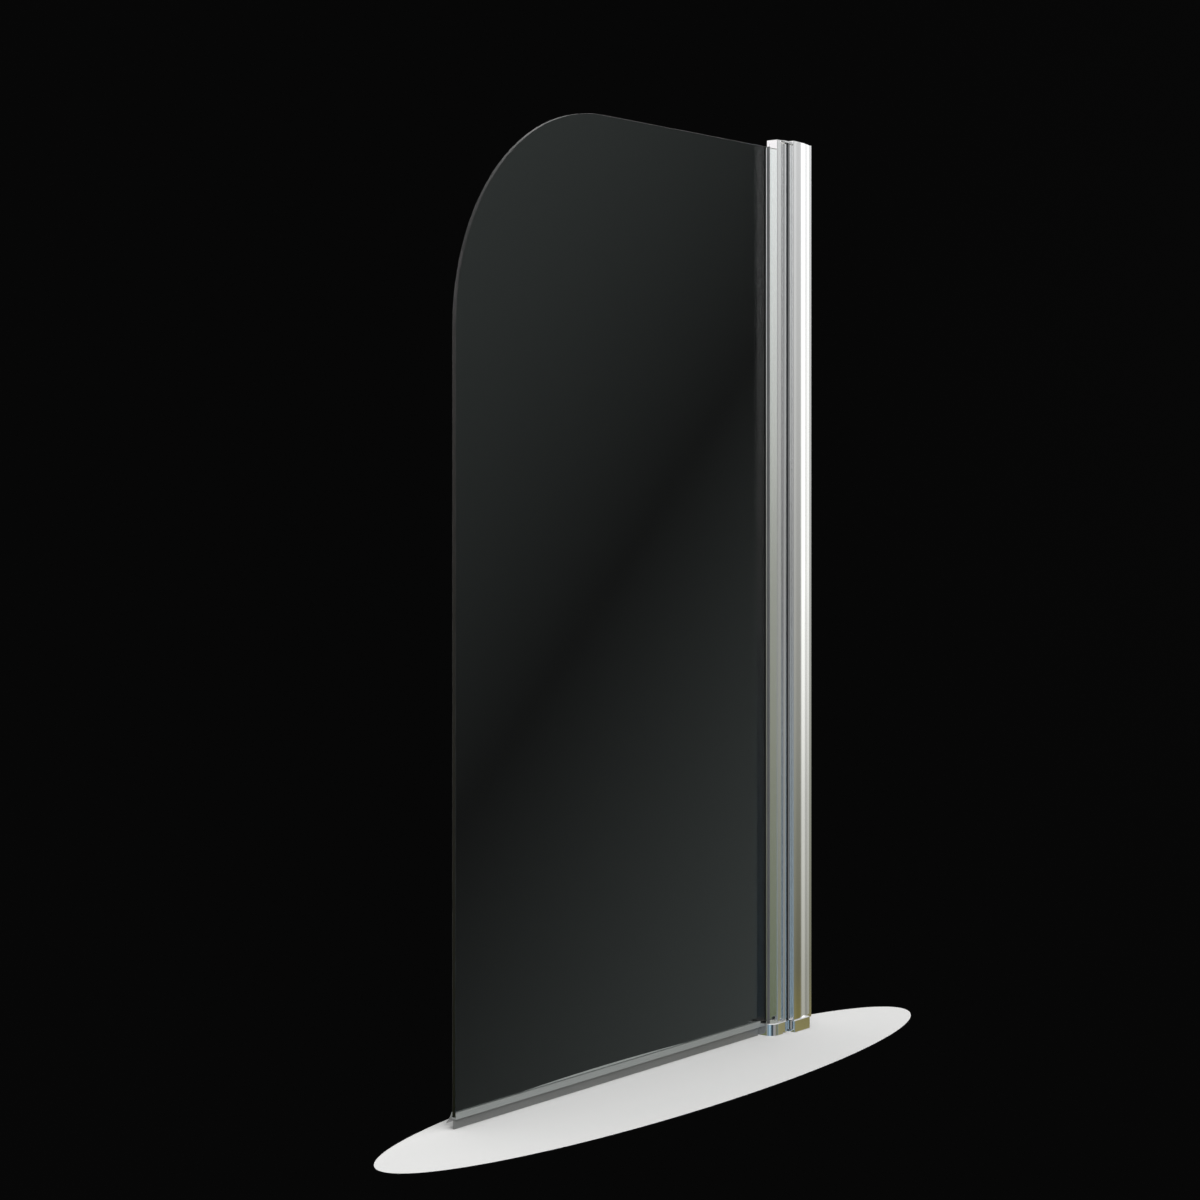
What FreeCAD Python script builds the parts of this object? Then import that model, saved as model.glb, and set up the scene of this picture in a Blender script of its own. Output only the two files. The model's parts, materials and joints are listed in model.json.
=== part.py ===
import FreeCAD, Part
import math
import os

import Sketcher

# Bath screen: one pane of toughened glass with a quarter-round top corner, held in a
# chrome hinge profile that turns on pins at its top and bottom. The fixed side is an
# adjuster profile that telescopes over a wall channel.
#
# Frame, in millimetres: X = 0 is the wall face and the glass reaches towards -X; Y = 0 is
# the middle of the glass, with the room on the -Y side and the bath on the +Y side;
# Z = 0 is the lower end of the wall channel. The feet of the screen reach below it, to
# the bath's rim.

SIZES = {
    # the whole screen
    "reach": (832, "wall face to the free edge of the glass"),
    "glass_height": (1374, "height of the glass"),
    "glass_thickness": (6, "thickness of the glass"),
    "corner_radius": (320, "quarter-round top corner of the glass"),
    "arris": (0.5, "ground bevel along the edges of the glass"),
    "glass_lift": (2, "lower edge of the glass above the channel's lower end"),
    "rim_drop": (14, "how far the feet and the seal reach below the channel"),
    "profile_rise": (10, "top of the profiles above the glass"),
    # the pivot
    "pivot_from_wall": (76.2, "pivot axis to the wall face"),
    "pivot_forward": (9.3, "pivot axis in front of the glazing slot"),
    "nose_radius": (10, "round nose of the turning parts"),
    "arm_round": (8, "round end of the hinge arms"),
    "nose_gap": (0.7, "nose to the side of the fixed parts"),
    "swing_gap": (0.75, "back corner of the hinge profile to the fixed parts"),
    "pin_radius": (2.5, "hinge pins"),
    "pin_length": (33, "length of the hinge pins"),
    "running_gap": (0.06, "hinge pin in its bush"),
    "press_gap": (0.02, "pin in its arm"),
    "bush_radius": (3.5, "outside of the bushes"),
    "bush_length": (30, "length of the bushes"),
    "bore_gap": (0.05, "bush in its bore"),
    "bore_wall": (2.2, "hinge profile between the bush and the chamber"),
    "washer_radius": (6.5, "outside of the thrust washers"),
    "top_washer": (2, "thickness of the top washer"),
    "foot_washer": (1, "thickness of the bottom washer"),
    "arm_thickness": (3, "hinge arms over and under the turning parts"),
    "foot_height": (20, "height of the two feet"),
    # the profiles
    "wall": (1.6, "wall of the extrusions"),
    "holder_width": (15, "width of the glazing slot's part of the hinge profile"),
    "holder_offset": (1.8, "hinge profile's closed side beyond the pivot axis"),
    "face_forward": (5.2, "front face of the hinge profile before the pivot axis"),
    "front_gasket": (5, "thickness of the room-side gasket"),
    "rear_gasket": (1.5, "thickness of the bath-side gasket"),
    "rear_lip": (1.5, "lip behind the bath-side gasket"),
    "rear_short": (6, "rear lip shorter than the front of the slot"),
    "edge_block": (1.4, "packing at the glass's hidden edge"),
    "edge_block_height": (60, "height of each packing piece"),
    "corner_round": (1.2, "rounded front corners of the extrusions"),
    "groove_width": (1, "fine groove down the hinge profile"),
    "groove_depth": (0.6, "depth of that groove"),
    "groove_offset": (0.4, "groove beyond the pivot axis"),
    "bead_radius": (7.2, "rounded bead beside the groove"),
    "port_radius": (1.6, "screw ports"),
    "port_wall": (1.8, "wall of the screw ports"),
    "port_inset": (2.8, "screw ports from the corner of their chamber"),
    "lobe_forward": (17.3, "front corner of the adjuster before the pivot axis"),
    "lobe_bow": (180, "radius of the adjuster's bowed front"),
    "lobe_side": (2.6, "thicker side wall that carries the gap seal"),
    "sleeve_lip": (1.1, "front edge of the sleeve over the channel"),
    "bow_lip": (1.65, "front wall of the sleeve where the bow ends"),
    "chamber_short": (12.8, "adjuster's chamber to the end of the sleeve"),
    "chamber_end": (1.6, "depth of the chamber at its narrow end"),
    "lobe_gap": (1, "turned hinge profile to the back of the adjuster's lobe"),
    # the wall channel
    "channel_width": (28, "width of the wall channel"),
    "channel_depth": (34, "depth of the wall channel"),
    "channel_wall": (1.5, "wall of the channel"),
    "slide_gap": (0.3, "channel in the adjuster's sleeve"),
    "pull_out": (8.5, "wall face to the end of the sleeve"),
    "travel_in": (8, "how far the adjuster can move to the wall"),
    "travel_out": (12, "how far the adjuster can move from the wall"),
    "wall_hole_radius": (2.6, "wall fixing holes"),
    "wall_hole_margin": (63, "outermost wall fixing holes to the channel's ends"),
    "plug_depth": (12, "depth of the channel's top plug"),
    "plug_gap": (0.2, "plug in the channel"),
    "tongue_drop": (3.5, "plug's tongue below the top"),
    # the clamp screws of the sleeve
    "lock_from_wall": (16, "clamp screws to the wall face"),
    "lock_low": (150, "lowest clamp screw above the channel's lower end"),
    "lock_high": (156, "highest clamp screw below the top"),
    "lock_radius": (2, "clamp screws"),
    "lock_gap": (0.3, "clamp screw in its slot"),
    "lock_nut": (7, "side of the square clamp nuts"),
    "lock_nut_depth": (3, "thickness of the clamp nuts"),
    "lock_head_radius": (3.6, "head of the clamp screws"),
    "lock_head": (2.2, "height of that head"),
    "base_radius": (5.6, "cup washer under the head"),
    "base_depth": (1.2, "thickness of the cup washer"),
    "cover_wall": (0.9, "wall of the snap-on covers"),
    "cover_depth": (5.2, "height of the snap-on covers"),
    "cover_dome": (16, "radius of the covers' dome"),
    # feet, caps and their screws
    "foot_reach": (20, "turning foot beyond the hinge profile"),
    "foot_round": (15, "rounded corner of the turning foot"),
    "foot_step": (0.4, "turning foot clear of the arm"),
    "foot_from_wall": (22.4, "fixed foot to the wall face"),
    "foot_proud": (2, "fixed foot before the adjuster"),
    "foot_bevel": (1.2, "bevelled rims of the feet"),
    "shelf_gap": (0.5, "foot below the channel"),
    "cap_plate": (1.4, "thin part of the glass side's top cap"),
    "cap_gap": (0.3, "cap's leg in the glazing slot"),
    "cover_gap": (0.3, "cover round its cup washer"),
    "glass_gap": (1, "glass in the turning foot"),
    "cap_bevel": (0.5, "bevelled rims of the top caps"),
    "screw_radius": (1.55, "cap screws"),
    "screw_clear": (1.8, "holes for the cap screws"),
    "screw_length": (22, "length of the cap screws"),
    "head_radius": (3.1, "head of the cap screws"),
    "head_height": (1.5, "height of that head"),
    "head_gap": (0.2, "round the head in its recess"),
    # seals
    "gap_seal_width": (3, "width of the gap seal"),
    "gap_seal_root": (1.2, "gap seal's depth in its groove"),
    "gap_seal_proud": (0.6, "gap seal before the side face"),
    "gap_seal_forward": (7.7, "front of the gap seal before the pivot axis"),
    "clip_wall": (1.4, "legs of the bottom seal"),
    "clip_web": (2.4, "web of the seal under the glass's edge"),
    "front_leg": (6.8, "front leg of the seal above the glass's edge"),
    "rear_leg": (6.4, "rear leg of the seal above the glass's edge"),
    "blade_top": (1.6, "thickness of the blade at its root"),
    "blade_tip": (1.2, "thickness of the blade at the rim"),
    "fin_root": (5.4, "root of the deflector above the glass's edge"),
    "fin_thickness": (1.6, "root of the deflector fin"),
    "fin_out": (9.2, "reach of the deflector fin behind the seal"),
    "fin_drop": (8.6, "tip of the fin below the glass's edge"),
    "fin_curve": (34, "curve of the deflector fin"),
    "seal_gap": (0.2, "end of the seal to the turning foot"),
}
WALL_HOLES = 4
LOCK_SCREWS = 3
EDGE_BLOCKS = 3
DRIVE_SLOT = 0.8
SHOW = 1.0


class Size:
    """A number together with the sheet formula that gives it."""

    def __init__(self, value, text):
        self.value = float(value)
        self.text = text

    def __add__(self, other):
        other = as_size(other)
        return Size(self.value + other.value, f"({self.text} + {other.text})")

    def __sub__(self, other):
        other = as_size(other)
        return Size(self.value - other.value, f"({self.text} - {other.text})")

    def __mul__(self, other):
        other = as_size(other)
        return Size(self.value * other.value, f"({self.text} * {other.text})")

    def __truediv__(self, other):
        other = as_size(other)
        return Size(self.value / other.value, f"({self.text} / {other.text})")

    def __neg__(self):
        return Size(-self.value, f"(0 - {self.text})")


def as_size(number):
    return number if isinstance(number, Size) else Size(number, repr(float(number)))


def root(size):
    return Size(math.sqrt(size.value), f"sqrt({size.text})")


class Sheet:
    """The driving sizes, read as attributes: sheet.reach is a Size."""

    def __init__(self, document):
        cells = document.addObject("Spreadsheet::Sheet", "Sizes")
        self.sizes = {}
        for row, (alias, (value, meaning)) in enumerate(SIZES.items(), start=1):
            cells.set(f"A{row}", alias)
            cells.set(f"B{row}", str(value))
            cells.setAlias(f"B{row}", alias)
            cells.set(f"C{row}", meaning)
            self.sizes[alias] = Size(value, f"Sizes.{alias}")

    def __getattr__(self, alias):
        return self.sizes[alias]


doc = FreeCAD.newDocument("BathScreen")
sheet = Sheet(doc)
doc.recompute()
nodes = []

# Places along Y, from the glass outwards.
glass_front = -sheet.glass_thickness / 2
glass_back = sheet.glass_thickness / 2
slot_front = glass_front - sheet.front_gasket
slot_back = glass_back + sheet.rear_gasket
holder_back = slot_back + sheet.rear_lip
pivot_y = slot_front - sheet.pivot_forward
holder_front = pivot_y - sheet.face_forward
nose_front = pivot_y - sheet.nose_radius
nose_back = pivot_y + sheet.nose_radius
adjuster_back = holder_back - sheet.lobe_gap
pocket_back = adjuster_back - sheet.wall
channel_back = pocket_back - sheet.slide_gap
channel_front = channel_back - sheet.channel_width
channel_middle = channel_back - sheet.channel_width / 2
pocket_front = channel_front - sheet.slide_gap
lobe_back = pivot_y + sheet.holder_offset - sheet.lobe_gap
lobe_corner = pivot_y - sheet.lobe_forward
foot_front = lobe_corner - sheet.foot_proud

# Places along X, from the wall outwards.
pivot_x = -sheet.pivot_from_wall
holder_right = pivot_x - sheet.holder_offset
holder_left = holder_right - sheet.holder_width
lip_left = holder_left + sheet.rear_short
slot_end = holder_right - sheet.wall
glass_right = slot_end - sheet.edge_block
glass_left = -sheet.reach
foot_left = holder_left - sheet.foot_reach
foot_right = -sheet.foot_from_wall
step_x = pivot_x - sheet.arm_round - sheet.foot_step
side_x = pivot_x + sheet.nose_radius + sheet.nose_gap
back_reach = holder_back - pivot_y
swing_radius = root(sheet.holder_offset * sheet.holder_offset + back_reach * back_reach)
pocket_wall = pivot_x + swing_radius + sheet.swing_gap
pocket_end = pocket_wall + sheet.wall
sleeve_end = -sheet.pull_out
channel_end = -sheet.channel_depth

# Heights.
rim = -sheet.rim_drop
arm_top = rim + sheet.arm_thickness
foot_floor = arm_top + sheet.foot_washer
foot_top = rim + sheet.foot_height
glass_bottom = sheet.glass_lift
glass_top = glass_bottom + sheet.glass_height
top = glass_top + sheet.profile_rise
arm_under = top - sheet.arm_thickness
holder_top = arm_under - sheet.top_washer
cap_step = holder_top + sheet.cap_plate

# Screw ports.
adjuster_port = (side_x + sheet.lobe_side + sheet.port_inset,
                 lobe_back - sheet.wall - sheet.port_inset)
holder_port = (holder_left + sheet.wall + sheet.port_inset,
               slot_front - sheet.wall - sheet.port_inset)


class Bend:
    """The edge that leaves a corner is an arc: anticlockwise for turn 1, clockwise for -1."""

    def __init__(self, radius, turn):
        self.radius = as_size(radius)
        self.turn = turn


def bind(thing, path, size):
    thing.setExpression(path, as_size(size).text)


def new_body(name):
    body = doc.addObject("PartDesign::Body", name)
    body.Label = name
    return body


def keep(thing, name):
    """The object becomes a node of its own under that name."""
    thing.Label = name
    nodes.append(thing)
    return thing


def arc_centre(start, end, radius, turn):
    """Centre of the arc under half a turn, or of half a turn, between two points."""
    chord = end - start
    middle = (start + end) * 0.5
    height = math.sqrt(max(radius ** 2 - (chord.Length / 2) ** 2, 0.0))
    across = FreeCAD.Vector(-chord.y, chord.x, 0).normalize()
    return middle + across * (height * turn)


def add_edge(sketch, start, end, bend):
    """Draws one edge and gives its (geometry, start point, end point)."""
    if bend is None:
        return sketch.addGeometry(Part.LineSegment(start, end), False), 1, 2
    centre = arc_centre(start, end, bend.radius.value, bend.turn)
    first, last = (start, end) if bend.turn > 0 else (end, start)
    angle_first = math.atan2(first.y - centre.y, first.x - centre.x)
    angle_last = math.atan2(last.y - centre.y, last.x - centre.x)
    circle = Part.Circle(centre, FreeCAD.Vector(0, 0, 1), bend.radius.value)
    edge = sketch.addGeometry(Part.ArcOfCircle(circle, angle_first, angle_last), False)
    return (edge, 1, 2) if bend.turn > 0 else (edge, 2, 1)


def draw_loop(sketch, corners):
    """A closed outline. Each corner is (x, y) or (x, y, Bend), and each number follows the sheet."""
    points = [FreeCAD.Vector(as_size(c[0]).value, as_size(c[1]).value, 0) for c in corners]
    count = len(corners)
    edges = []
    for index, corner in enumerate(corners):
        bend = corner[2] if len(corner) > 2 else None
        edges.append(add_edge(sketch, points[index], points[(index + 1) % count], bend))
    for index, (edge, _, end) in enumerate(edges):
        after, begin, _ = edges[(index + 1) % count]
        sketch.addConstraint(Sketcher.Constraint("Coincident", edge, end, after, begin))
    for (edge, begin, _), corner, point in zip(edges, corners, points):
        for kind, value, size in (("DistanceX", point.x, corner[0]), ("DistanceY", point.y, corner[1])):
            rule = sketch.addConstraint(Sketcher.Constraint(kind, -1, 1, edge, begin, value))
            bind(sketch, f"Constraints[{rule}]", size)
        if len(corner) > 2 and not half_turn(corner, corners[(corners.index(corner) + 1) % count]):
            radius = corner[2].radius
            rule = sketch.addConstraint(Sketcher.Constraint("Radius", edge, radius.value))
            bind(sketch, f"Constraints[{rule}]", radius)
        elif len(corner) > 2:
            centre_x = (as_size(corner[0]) + corners[(corners.index(corner) + 1) % count][0]) / 2
            rule = sketch.addConstraint(Sketcher.Constraint("DistanceX", -1, 1, edge, 3, centre_x.value))
            bind(sketch, f"Constraints[{rule}]", centre_x)


def half_turn(corner, following):
    gap = math.dist([as_size(v).value for v in corner[:2]], [as_size(v).value for v in following[:2]])
    return abs(gap - 2 * corner[2].radius.value) < 1e-6


def draw_circle(sketch, x, y, radius):
    x, y, radius = as_size(x), as_size(y), as_size(radius)
    circle = Part.Circle(FreeCAD.Vector(x.value, y.value, 0), FreeCAD.Vector(0, 0, 1), radius.value)
    edge = sketch.addGeometry(circle, False)
    for constraint, size in (
        (Sketcher.Constraint("Radius", edge, radius.value), radius),
        (Sketcher.Constraint("DistanceX", -1, 1, edge, 3, x.value), x),
        (Sketcher.Constraint("DistanceY", -1, 1, edge, 3, y.value), y),
    ):
        bind(sketch, f"Constraints[{sketch.addConstraint(constraint)}]", size)


def add_sketch(body, name, plane, height, loops, circles):
    sketch = body.newObject("Sketcher::SketchObject", name)
    support = [o for o in body.Origin.OriginFeatures if o.Role == plane][0]
    sketch.AttachmentSupport = [(support, "")]
    sketch.MapMode = "FlatFace"
    bind(sketch, "AttachmentOffset.Base.z", height)
    for corners in loops:
        draw_loop(sketch, corners)
    for circle in circles:
        draw_circle(sketch, *circle)
    return sketch


def prism(body, name, low, high, loops=(), circles=(), plane="XY_Plane"):
    """A straight piece from low to high along the plane's axis: Z, X for YZ_Plane, Y for XZ_Plane."""
    low, high = as_size(low), as_size(high)
    start = -high if plane == "XZ_Plane" else low
    sketch = add_sketch(body, f"{name}_outline", plane, start, loops, circles)
    pad = body.newObject("PartDesign::Pad", name)
    pad.Profile = sketch
    bind(pad, "Length", high - low)
    sketch.Visibility = False
    return pad


def cut(body, name, low, high, loops=(), circles=(), plane="XY_Plane"):
    """Takes the straight piece away from the body, and checks that something went."""
    low, high = as_size(low), as_size(high)
    start = -low if plane == "XZ_Plane" else high
    doc.recompute()
    before = body.Shape.Volume
    sketch = add_sketch(body, f"{name}_outline", plane, start, loops, circles)
    pocket = body.newObject("PartDesign::Pocket", name)
    pocket.Profile = sketch
    bind(pocket, "Length", high - low)
    doc.recompute()
    if not body.Shape.Volume < before - 1e-3:
        raise ValueError(f"{name} cuts nothing from {body.Label}")
    return pocket


def round_upright(body, name, x, y, radius):
    """Rounds the upright edge at that place."""
    doc.recompute()
    solid = body.Tip
    found = []
    for index, edge in enumerate(solid.Shape.Edges, start=1):
        box = edge.BoundBox
        ends = (box.XMin - x.value, box.XMax - x.value, box.YMin - y.value, box.YMax - y.value)
        if max(abs(end) for end in ends) < 1e-4:
            found.append(f"Edge{index}")
    fillet = body.newObject("PartDesign::Fillet", name)
    fillet.Base = (solid, found)
    bind(fillet, "Radius", radius)


def bevel_rim(body, name, height, size):
    """A bevel round the outer rim at that height, round holes left out."""
    doc.recompute()
    solid = body.Tip
    rim_edges = []
    for index, edge in enumerate(solid.Shape.Edges, start=1):
        box = edge.BoundBox
        flat = abs(box.ZMin - height.value) < 1e-6 and abs(box.ZMax - height.value) < 1e-6
        if flat and not edge.isClosed():
            rim_edges.append(f"Edge{index}")
    bevel = body.newObject("PartDesign::Chamfer", name)
    bevel.Base = (solid, rim_edges)
    bind(bevel, "Size", size)
    doc.recompute()
    return bevel


def place(thing, x, y, z, turn=None):
    if turn is not None:
        thing.Placement = FreeCAD.Placement(FreeCAD.Vector(0, 0, 0), turn)
    for axis, size in (("x", x), ("y", y), ("z", z)):
        bind(thing, f".Placement.Base.{axis}", size)


ALONG_Y = FreeCAD.Rotation(FreeCAD.Vector(1, 0, 0), -90)


def cylinder(name, radius, length, x, y, z, turn=None):
    solid = doc.addObject("Part::Cylinder", name)
    bind(solid, "Radius", radius)
    bind(solid, "Height", length)
    place(solid, x, y, z, turn)
    return solid


def block(name, low, high):
    """A box from its low corner to its high corner."""
    solid = doc.addObject("Part::Box", name)
    for side, small, large in zip(("Length", "Width", "Height"), low, high):
        bind(solid, side, as_size(large) - small)
    place(solid, *low)
    return solid


def subtract(name, base, tool):
    result = doc.addObject("Part::Cut", name)
    result.Base = base
    result.Tool = tool
    return result


def join(name, *solids):
    result = doc.addObject("Part::MultiFuse", name)
    result.Shapes = list(solids)
    return result


def group(name, solids):
    result = doc.addObject("Part::Compound", name)
    result.Links = list(solids)
    return keep(result, name)


def ring(name, outer, inner, length, x, y, z):
    solid = cylinder(f"{name}_outside", outer, length, x, y, z)
    hole = cylinder(f"{name}_hole", inner, length, x, y, z)
    return subtract(name, solid, hole)


def spread(low, high, count):
    """Heights at equal steps from the lowest to the highest."""
    step = (high - low) / (count - 1)
    return [low + step * index for index in range(count)]


def lock_heights():
    return spread(sheet.lock_low, top - sheet.lock_high, LOCK_SCREWS)


def slotted_screw(name, radius, length, head_radius, head_height, x, y, z, head_up):
    """An upright screw. z is the outer face of its head, and the shank runs away from it."""
    if head_up:
        head = cylinder(f"{name}_head", head_radius, head_height, x, y, as_size(z) - head_height)
        shank = cylinder(f"{name}_shank", radius, length, x, y, as_size(z) - length)
        slot_low = as_size(z) - head_height / 2
        slot_high = z
    else:
        head = cylinder(f"{name}_head", head_radius, head_height, x, y, z)
        shank = cylinder(f"{name}_shank", radius, length, x, y, z)
        slot_low = z
        slot_high = as_size(z) + head_height / 2
    slot = block(
        f"{name}_slot",
        (x - head_radius, y - DRIVE_SLOT / 2, slot_low),
        (x + head_radius, y + DRIVE_SLOT / 2, slot_high),
    )
    return keep(subtract(name, join(f"{name}_blank", head, shank), slot), name)


# --- The part that is screwed to the wall -------------------------------------------------


def make_wall_channel():
    thick = sheet.channel_wall
    body = keep(new_body("wall_channel"), "wall_channel")
    prism(body, "channel_section", 0, top, [[
        (channel_end, channel_front),
        (0, channel_front),
        (0, channel_back),
        (channel_end, channel_back),
        (channel_end, channel_back - thick),
        (-thick, channel_back - thick),
        (-thick, channel_front + thick),
        (channel_end, channel_front + thick),
    ]])
    heights = spread(sheet.wall_hole_margin, top - sheet.wall_hole_margin, WALL_HOLES)
    holes = [(channel_middle, height, sheet.wall_hole_radius) for height in heights]
    cut(body, "wall_holes", -thick - SHOW, SHOW, circles=holes, plane="YZ_Plane")
    half = sheet.lock_radius + sheet.lock_gap
    left = -sheet.lock_from_wall - sheet.travel_out
    right = -sheet.lock_from_wall + sheet.travel_in
    slots = [
        [
            (left, height - half),
            (right, height - half, Bend(half, 1)),
            (right, height + half),
            (left, height + half, Bend(half, 1)),
        ]
        for height in lock_heights()
    ]
    cut(body, "clamp_slots", channel_back - thick - SHOW, channel_back + SHOW, slots, plane="XZ_Plane")


def make_channel_top_plug():
    thick = sheet.channel_wall
    front = channel_front + thick + sheet.plug_gap
    back = channel_back - thick - sheet.plug_gap
    right = -thick - sheet.plug_gap
    tongue_left = pocket_end + sheet.travel_in + sheet.shelf_gap
    body = keep(new_body("channel_top_plug"), "channel_top_plug")
    prism(body, "plug_block", top - sheet.plug_depth, top, [rectangle(channel_end, front, right, back)])
    tongue_top = top - sheet.tongue_drop
    prism(body, "plug_tongue", top - sheet.plug_depth / 2, tongue_top,
          [rectangle(tongue_left, front, channel_end + thick, back)])
    inset = sheet.channel_wall
    cut(body, "plug_hollow", top - sheet.plug_depth, top - sheet.plug_depth / 2,
        [rectangle(channel_end + inset, front + inset, right - inset, back - inset)])


def rectangle(left, low, right, high):
    return [(left, low), (right, low), (right, high), (left, high)]


# --- The adjuster and what it carries -----------------------------------------------------


def adjuster_front():
    """The bowed front, from the side face to the end of the sleeve."""
    return [
        (side_x, lobe_corner, Bend(sheet.lobe_bow, 1)),
        (sleeve_end - sheet.wall, pocket_front - sheet.bow_lip),
        (sleeve_end, pocket_front - sheet.sleeve_lip),
    ]


def make_adjuster_profile():
    body = keep(new_body("adjuster_profile"), "adjuster_profile")
    prism(body, "adjuster_section", foot_top, arm_under, [
        adjuster_front() + [
            (sleeve_end, pocket_front),
            (pocket_end, pocket_front),
            (pocket_end, pocket_back),
            (sleeve_end, pocket_back),
            (sleeve_end, adjuster_back),
            (pocket_wall, adjuster_back),
            (pocket_wall, lobe_back),
            (side_x, lobe_back),
        ],
    ])
    round_upright(body, "adjuster_corner", side_x, lobe_corner, sheet.corner_round)
    left = side_x + sheet.lobe_side
    chamber_right = sleeve_end - sheet.chamber_short
    chamber_back = pocket_front - sheet.wall
    chamber_front = lobe_corner + sheet.wall
    cut(body, "adjuster_chamber", foot_top, arm_under, [[
        (left, chamber_front, Bend(sheet.lobe_bow - sheet.wall, 1)),
        (chamber_right, chamber_back - sheet.chamber_end),
        (chamber_right, chamber_back),
        (pocket_wall, chamber_back),
        (pocket_wall, lobe_back - sheet.wall),
        (left, lobe_back - sheet.wall),
    ]])
    port_x, port_y = adjuster_port
    prism(body, "adjuster_port", foot_top, arm_under,
          circles=[(port_x, port_y, sheet.port_radius + sheet.port_wall)])
    cut(body, "adjuster_port_bore", foot_top, arm_under, circles=[(port_x, port_y, sheet.port_radius)])
    seal_front = pivot_y - sheet.gap_seal_forward
    cut(body, "gap_seal_groove", foot_top, arm_under, [
        rectangle(side_x - SHOW, seal_front, side_x + sheet.gap_seal_root, seal_front + sheet.gap_seal_width),
    ])
    holes = [(-sheet.lock_from_wall, height, sheet.lock_radius + sheet.lock_gap) for height in lock_heights()]
    cut(body, "clamp_holes", pocket_back - SHOW, adjuster_back + SHOW, circles=holes, plane="XZ_Plane")


def make_hinge_gap_seal():
    front = pivot_y - sheet.gap_seal_forward
    back = front + sheet.gap_seal_width
    left = side_x - sheet.gap_seal_proud
    body = keep(new_body("hinge_gap_seal"), "hinge_gap_seal")
    prism(body, "gap_seal_section", foot_top, arm_under, [[
        (side_x + sheet.gap_seal_root, front),
        (side_x + sheet.gap_seal_root, back),
        (side_x, back),
        (left, back - sheet.gap_seal_proud),
        (left, front + sheet.gap_seal_proud),
        (side_x, front),
    ]])


def arm_edge():
    """The rounded arm that reaches over or under the pivot, from its back to its front."""
    back = pivot_y + sheet.arm_round
    front = pivot_y - sheet.arm_round
    return [
        (pocket_wall, back),
        (pivot_x, back, Bend(sheet.arm_round, 1)),
        (pivot_x, front),
        (side_x, front),
    ]


def arm_holes(body, name, low, high, recess_low, recess_high):
    """Pin hole, screw hole and the recess for the screw's head."""
    port_x, port_y = adjuster_port
    cut(body, f"{name}_pin_hole", low, high,
        circles=[(pivot_x, pivot_y, sheet.pin_radius + sheet.press_gap)])
    cut(body, f"{name}_screw_hole", rim if name == "foot" else low, foot_top if name == "foot" else high,
        circles=[(port_x, port_y, sheet.screw_clear)])
    cut(body, f"{name}_head_recess", recess_low, recess_high,
        circles=[(port_x, port_y, sheet.head_radius + sheet.head_gap)])


def make_top_hinge_arm():
    notch = channel_end - sheet.travel_in - sheet.shelf_gap
    body = keep(new_body("top_hinge_arm"), "top_hinge_arm")
    prism(body, "arm_plate", arm_under, top, [
        adjuster_front() + [
            (sleeve_end, pocket_front),
            (notch, pocket_front),
            (notch, pocket_back),
            (sleeve_end, pocket_back),
            (sleeve_end, adjuster_back),
            (pocket_wall, adjuster_back),
        ] + arm_edge(),
    ])
    round_upright(body, "arm_corner", side_x, lobe_corner, sheet.corner_round)
    bevel_rim(body, "arm_bevel", top, sheet.cap_bevel)
    arm_holes(body, "arm", arm_under, top, top - sheet.head_height, top)


def make_bottom_hinge_arm():
    shelf_front = pocket_front - sheet.slide_gap
    body = keep(new_body("bottom_hinge_arm"), "bottom_hinge_arm")
    prism(body, "foot_plate", rim, arm_top, [[
        (side_x, foot_front),
        (foot_right, foot_front),
        (foot_right, adjuster_back),
        (pocket_wall, adjuster_back),
    ] + arm_edge()])
    prism(body, "foot_block", arm_top, foot_top, [[
        (side_x, foot_front),
        (foot_right, foot_front),
        (foot_right, shelf_front),
        (pocket_wall, shelf_front),
        (pocket_wall, lobe_back),
        (side_x, lobe_back),
    ]])
    prism(body, "foot_shelf", arm_top, -sheet.shelf_gap,
          [rectangle(pocket_wall, shelf_front, foot_right, adjuster_back)])
    round_upright(body, "foot_corner", side_x, foot_front, sheet.corner_round)
    bevel_rim(body, "foot_top_bevel", foot_top, sheet.foot_bevel)
    bevel_rim(body, "foot_rim_bevel", rim, sheet.foot_bevel)
    recess_top = arm_top + sheet.head_height
    arm_holes(body, "foot", rim, arm_top, rim, recess_top)


def make_pins_and_washers():
    radius = sheet.pin_radius
    hole = radius + sheet.running_gap
    top_pin = cylinder("top_hinge_pin", radius, sheet.pin_length, pivot_x, pivot_y, top - sheet.pin_length)
    keep(top_pin, "top_hinge_pin")
    keep(cylinder("bottom_hinge_pin", radius, sheet.pin_length, pivot_x, pivot_y, rim), "bottom_hinge_pin")
    outer = sheet.washer_radius
    keep(ring("top_thrust_washer", outer, hole, sheet.top_washer, pivot_x, pivot_y, holder_top),
         "top_thrust_washer")
    keep(ring("bottom_thrust_washer", outer, hole, sheet.foot_washer, pivot_x, pivot_y, arm_top),
         "bottom_thrust_washer")


def make_arm_screws():
    port_x, port_y = adjuster_port
    common = (sheet.screw_radius, sheet.screw_length, sheet.head_radius, sheet.head_height, port_x, port_y)
    slotted_screw("top_arm_screw", *common, top, True)
    foot_screw = (sheet.screw_radius, sheet.screw_length + sheet.foot_height, *common[2:])
    slotted_screw("bottom_arm_screw", *foot_screw, arm_top, False)


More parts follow.
